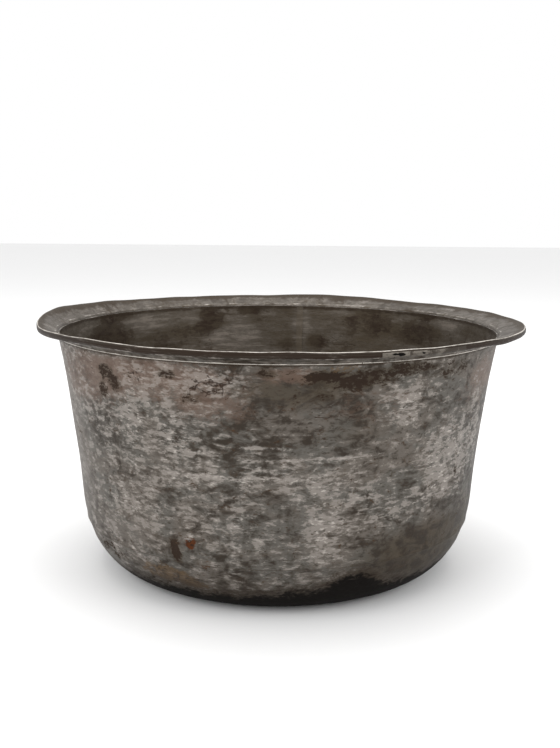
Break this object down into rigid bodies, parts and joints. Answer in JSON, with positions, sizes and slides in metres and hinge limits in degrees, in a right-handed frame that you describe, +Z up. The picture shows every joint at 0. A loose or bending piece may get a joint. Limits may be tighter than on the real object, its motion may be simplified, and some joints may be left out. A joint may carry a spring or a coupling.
{
  "type": "round flared-rim pan",
  "caption": "Deep round pan of tinned copper sheet with a flared rim: dished base, rolled wall and wired rim collar, brazed and soldered together; holds food or wet mix.",
  "frame": {"origin": "middle of the flat underside, where the pan stands", "axes": "+Z up along the pan's axis; the collar's joint is on the -Y side towards +X, and the wall's side seam is on the +Y side"},
  "size_m": [0.4, 0.4, 0.205],
  "materials": {
    "base_copper": "tinned copper, smoked black on its outside",
    "wall_copper": "worn tin over copper, mottled grey and brown",
    "rim_copper": "worn tin over copper, bare along the lip",
    "iron_wire": "rusted",
    "braze": "dull yellow braze, tinned over",
    "solder": "dull wiped tin"
  },
  "bodies": {
    "root": {"base_dish": "base_copper", "wall_band": "wall_copper", "rim_collar": "rim_copper", "rim_wire": "iron_wire", "base_seam_braze": "braze", "side_seam_braze": "braze", "collar_seam_solder": "solder", "rim_joint_solder": "solder"}
  },
  "joints": []
}
